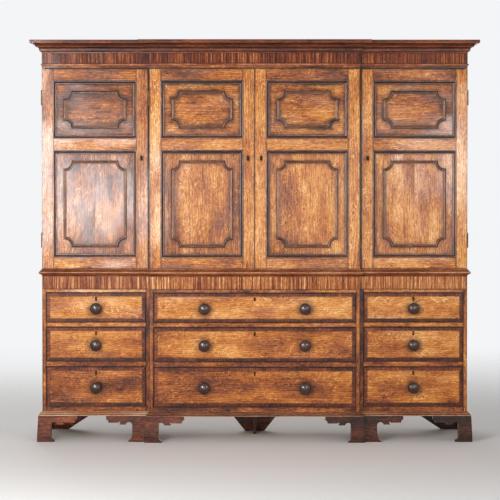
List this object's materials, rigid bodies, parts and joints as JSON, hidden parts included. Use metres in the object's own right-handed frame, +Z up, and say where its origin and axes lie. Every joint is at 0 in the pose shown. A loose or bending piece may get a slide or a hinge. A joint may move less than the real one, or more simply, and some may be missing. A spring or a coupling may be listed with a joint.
{
  "type": "housekeepers cupboard",
  "caption": "Breakfront housekeepers cupboard in waxed oak: panelled doors over banks of drawers, moulded cornice, bracket feet.",
  "frame": {"origin": "on the floor under the centre of the whole", "axes": "+Z up, +X to the viewer's right across the front, -Y out of the front"},
  "size_m": [2.328, 0.613, 2.087],
  "materials": {
    "oak": "waxed",
    "mahogany": "waxed",
    "dark_mahogany": "waxed",
    "ebonised": "polished",
    "pine": "bare",
    "brass": "aged"
  },
  "bodies": {
    "case": {"lower_case_sides": "oak", "lower_case_boards": "pine", "lower_case_backs": "pine", "drawer_rails": "oak", "drawer_runners": "pine", "lower_friezes": "mahogany", "waist_moulding": "dark_mahogany", "base_moulding": "oak", "bracket_feet": "mahogany", "back_feet": "oak", "upper_case_sides": "oak", "upper_case_boards": "pine", "upper_case_backs": "pine", "shelves": "pine", "upper_friezes": "mahogany", "cornice": "dark_mahogany", "hinge_fixed_leaves": "brass"},
    "door_left_wing": {"door_left_wing_frame": "oak", "door_left_wing_panels": "oak", "door_left_wing_mouldings": "dark_mahogany", "door_left_wing_fittings": "brass"},
    "door_centre_left": {"door_centre_left_frame": "oak", "door_centre_left_panels": "oak", "door_centre_left_mouldings": "dark_mahogany", "door_centre_left_fittings": "brass"},
    "door_centre_right": {"door_centre_right_frame": "oak", "door_centre_right_panels": "oak", "door_centre_right_mouldings": "dark_mahogany", "door_centre_right_fittings": "brass"},
    "door_right_wing": {"door_right_wing_frame": "oak", "door_right_wing_panels": "oak", "door_right_wing_mouldings": "dark_mahogany", "door_right_wing_fittings": "brass"},
    "drawer_left_top": {"drawer_left_top_front": "oak", "drawer_left_top_box": "pine", "drawer_left_top_knobs": "ebonised"},
    "drawer_left_middle": {"drawer_left_middle_front": "oak", "drawer_left_middle_box": "pine", "drawer_left_middle_knobs": "ebonised"},
    "drawer_left_bottom": {"drawer_left_bottom_front": "oak", "drawer_left_bottom_box": "pine", "drawer_left_bottom_knobs": "ebonised"},
    "drawer_centre_top": {"drawer_centre_top_front": "oak", "drawer_centre_top_box": "pine", "drawer_centre_top_knobs": "ebonised"},
    "drawer_centre_middle": {"drawer_centre_middle_front": "oak", "drawer_centre_middle_box": "pine", "drawer_centre_middle_knobs": "ebonised"},
    "drawer_centre_bottom": {"drawer_centre_bottom_front": "oak", "drawer_centre_bottom_box": "pine", "drawer_centre_bottom_knobs": "ebonised"},
    "drawer_right_top": {"drawer_right_top_front": "oak", "drawer_right_top_box": "pine", "drawer_right_top_knobs": "ebonised"},
    "drawer_right_middle": {"drawer_right_middle_front": "oak", "drawer_right_middle_box": "pine", "drawer_right_middle_knobs": "ebonised"},
    "drawer_right_bottom": {"drawer_right_bottom_front": "oak", "drawer_right_bottom_box": "pine", "drawer_right_bottom_knobs": "ebonised"}
  },
  "joints": [
    {"name": "door_left_wing_hinge", "type": "hinge", "parent": "case", "child": "door_left_wing", "pos_m": [-1.1098, -0.1915, 1.4], "axis": [0, 0, -1], "range_deg": [0, 110]},
    {"name": "door_centre_left_hinge", "type": "hinge", "parent": "case", "child": "door_centre_left", "pos_m": [-0.5498, -0.2265, 1.4], "axis": [0, 0, -1], "range_deg": [0, 110]},
    {"name": "door_centre_right_hinge", "type": "hinge", "parent": "case", "child": "door_centre_right", "pos_m": [0.5498, -0.2265, 1.4], "axis": [0, 0, 1], "range_deg": [0, 110]},
    {"name": "door_right_wing_hinge", "type": "hinge", "parent": "case", "child": "door_right_wing", "pos_m": [1.1098, -0.1915, 1.4], "axis": [0, 0, 1], "range_deg": [0, 110]},
    {"name": "drawer_left_top_slide", "type": "slide", "parent": "case", "child": "drawer_left_top", "axis": [0, -1, 0], "range_m": [0, 0.38]},
    {"name": "drawer_left_middle_slide", "type": "slide", "parent": "case", "child": "drawer_left_middle", "axis": [0, -1, 0], "range_m": [0, 0.38]},
    {"name": "drawer_left_bottom_slide", "type": "slide", "parent": "case", "child": "drawer_left_bottom", "axis": [0, -1, 0], "range_m": [0, 0.38]},
    {"name": "drawer_centre_top_slide", "type": "slide", "parent": "case", "child": "drawer_centre_top", "axis": [0, -1, 0], "range_m": [0, 0.4]},
    {"name": "drawer_centre_middle_slide", "type": "slide", "parent": "case", "child": "drawer_centre_middle", "axis": [0, -1, 0], "range_m": [0, 0.4]},
    {"name": "drawer_centre_bottom_slide", "type": "slide", "parent": "case", "child": "drawer_centre_bottom", "axis": [0, -1, 0], "range_m": [0, 0.4]},
    {"name": "drawer_right_top_slide", "type": "slide", "parent": "case", "child": "drawer_right_top", "axis": [0, -1, 0], "range_m": [0, 0.38]},
    {"name": "drawer_right_middle_slide", "type": "slide", "parent": "case", "child": "drawer_right_middle", "axis": [0, -1, 0], "range_m": [0, 0.38]},
    {"name": "drawer_right_bottom_slide", "type": "slide", "parent": "case", "child": "drawer_right_bottom", "axis": [0, -1, 0], "range_m": [0, 0.38]}
  ]
}
